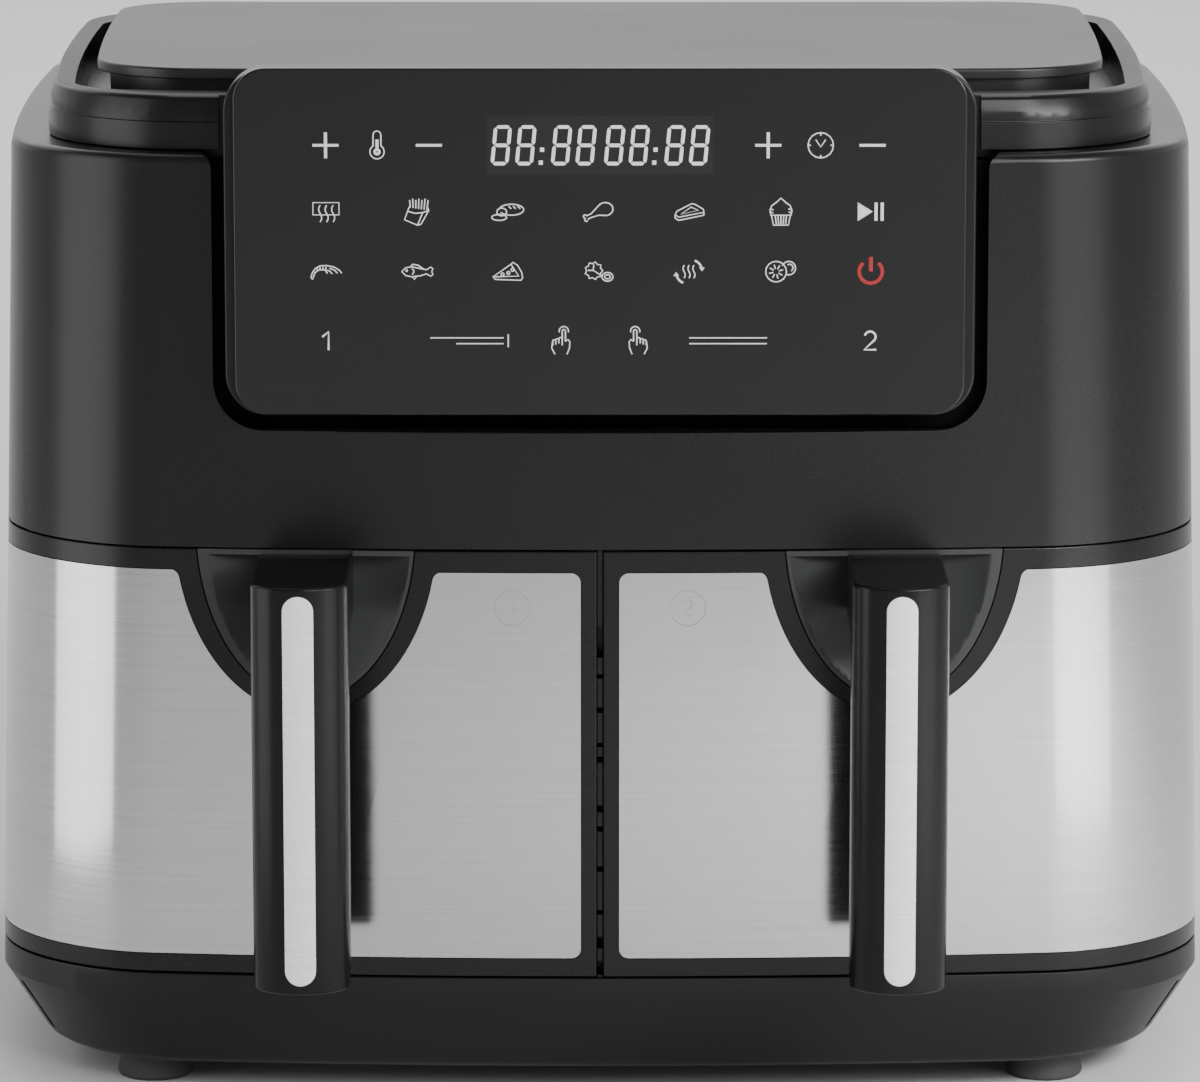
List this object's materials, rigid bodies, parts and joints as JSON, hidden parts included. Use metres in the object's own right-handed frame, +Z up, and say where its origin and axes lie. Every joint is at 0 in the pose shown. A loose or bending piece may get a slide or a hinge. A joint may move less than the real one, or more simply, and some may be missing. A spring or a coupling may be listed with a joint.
{
  "type": "air fryer",
  "caption": "Black countertop air fryer with twin side-by-side basket drawers, upright bar handles, brushed steel drawer fronts and a raised touch control panel.",
  "frame": {"origin": "centre of the bottom of the whole appliance's box, at the feet's underside", "axes": "+Z up, drawers open towards -Y, +X to the right as seen from the front"},
  "size_m": [0.3956, 0.363, 0.3286],
  "materials": {
    "black_gloss": "moulded black plastic with a soft gloss",
    "black_satin": "satin black plastic",
    "panel_black": "smooth black control panel, white and red printed symbols",
    "brushed_steel": "sheet brushed along its width",
    "bright_steel": "fine brushed, bright",
    "zinc_sheet": "plain coated sheet",
    "coated_basket": "dark non-stick coating",
    "rubber": "matt black rubber",
    "circuit_board": "green laminate",
    "motor_metal": "grey metal"
  },
  "bodies": {
    "housing": {"base_tray": "black_gloss", "base_deck": "black_satin", "foot_front_left": "rubber", "foot_front_right": "rubber", "foot_rear_left": "rubber", "foot_rear_right": "rubber", "outer_housing": "black_gloss", "centre_post": "black_gloss", "top_collar": "black_gloss", "top_cover": "black_satin", "panel_glass": "panel_black", "panel_bezel": "black_gloss", "console_carrier": "black_satin", "display_board": "circuit_board", "rear_cover": "black_satin", "rear_spacer_left": "black_satin", "rear_spacer_right": "black_satin", "mains_gland": "rubber", "power_board": "circuit_board", "cavity_liner_left": "zinc_sheet", "heating_element_left": "motor_metal", "heater_guard_left": "bright_steel", "motor_plate_left": "zinc_sheet", "motor_left": "motor_metal", "thermostat_left": "motor_metal", "interlock_switch_left": "black_satin", "cavity_liner_right": "zinc_sheet", "heating_element_right": "motor_metal", "heater_guard_right": "bright_steel", "motor_plate_right": "zinc_sheet", "motor_right": "motor_metal", "thermostat_right": "motor_metal", "interlock_switch_right": "black_satin"},
    "left_drawer": {"front_frame_left": "black_gloss", "steel_panel_left": "brushed_steel", "handle_mount_left": "black_gloss", "handle_grip_left": "black_gloss", "handle_inlay_left": "bright_steel", "inner_cover_left": "black_satin", "basket_left": "coated_basket"},
    "left_plate": {"crisper_plate_left": "coated_basket"},
    "left_fan": {"motor_shaft_left": "bright_steel", "hot_air_fan_left": "zinc_sheet", "cooling_fan_left": "black_satin"},
    "right_drawer": {"front_frame_right": "black_gloss", "steel_panel_right": "brushed_steel", "handle_mount_right": "black_gloss", "handle_grip_right": "black_gloss", "handle_inlay_right": "bright_steel", "inner_cover_right": "black_satin", "basket_right": "coated_basket"},
    "right_plate": {"crisper_plate_right": "coated_basket"},
    "right_fan": {"motor_shaft_right": "bright_steel", "hot_air_fan_right": "zinc_sheet", "cooling_fan_right": "black_satin"}
  },
  "joints": [
    {"name": "left_drawer_slide", "type": "slide", "parent": "housing", "child": "left_drawer", "axis": [0, -1, 0], "range_m": [0, 0.3]},
    {"name": "left_plate_lift", "type": "slide", "parent": "left_drawer", "child": "left_plate", "axis": [0, 0, 1], "range_m": [0, 0.1]},
    {"name": "left_fan_spin", "type": "hinge", "parent": "housing", "child": "left_fan", "pos_m": [-0.0915, 0.0235, 0.195], "axis": [0, 0, 1], "continuous": true},
    {"name": "right_drawer_slide", "type": "slide", "parent": "housing", "child": "right_drawer", "axis": [0, -1, 0], "range_m": [0, 0.3]},
    {"name": "right_plate_lift", "type": "slide", "parent": "right_drawer", "child": "right_plate", "axis": [0, 0, 1], "range_m": [0, 0.1]},
    {"name": "right_fan_spin", "type": "hinge", "parent": "housing", "child": "right_fan", "pos_m": [0.0915, 0.0235, 0.195], "axis": [0, 0, 1], "continuous": true}
  ]
}
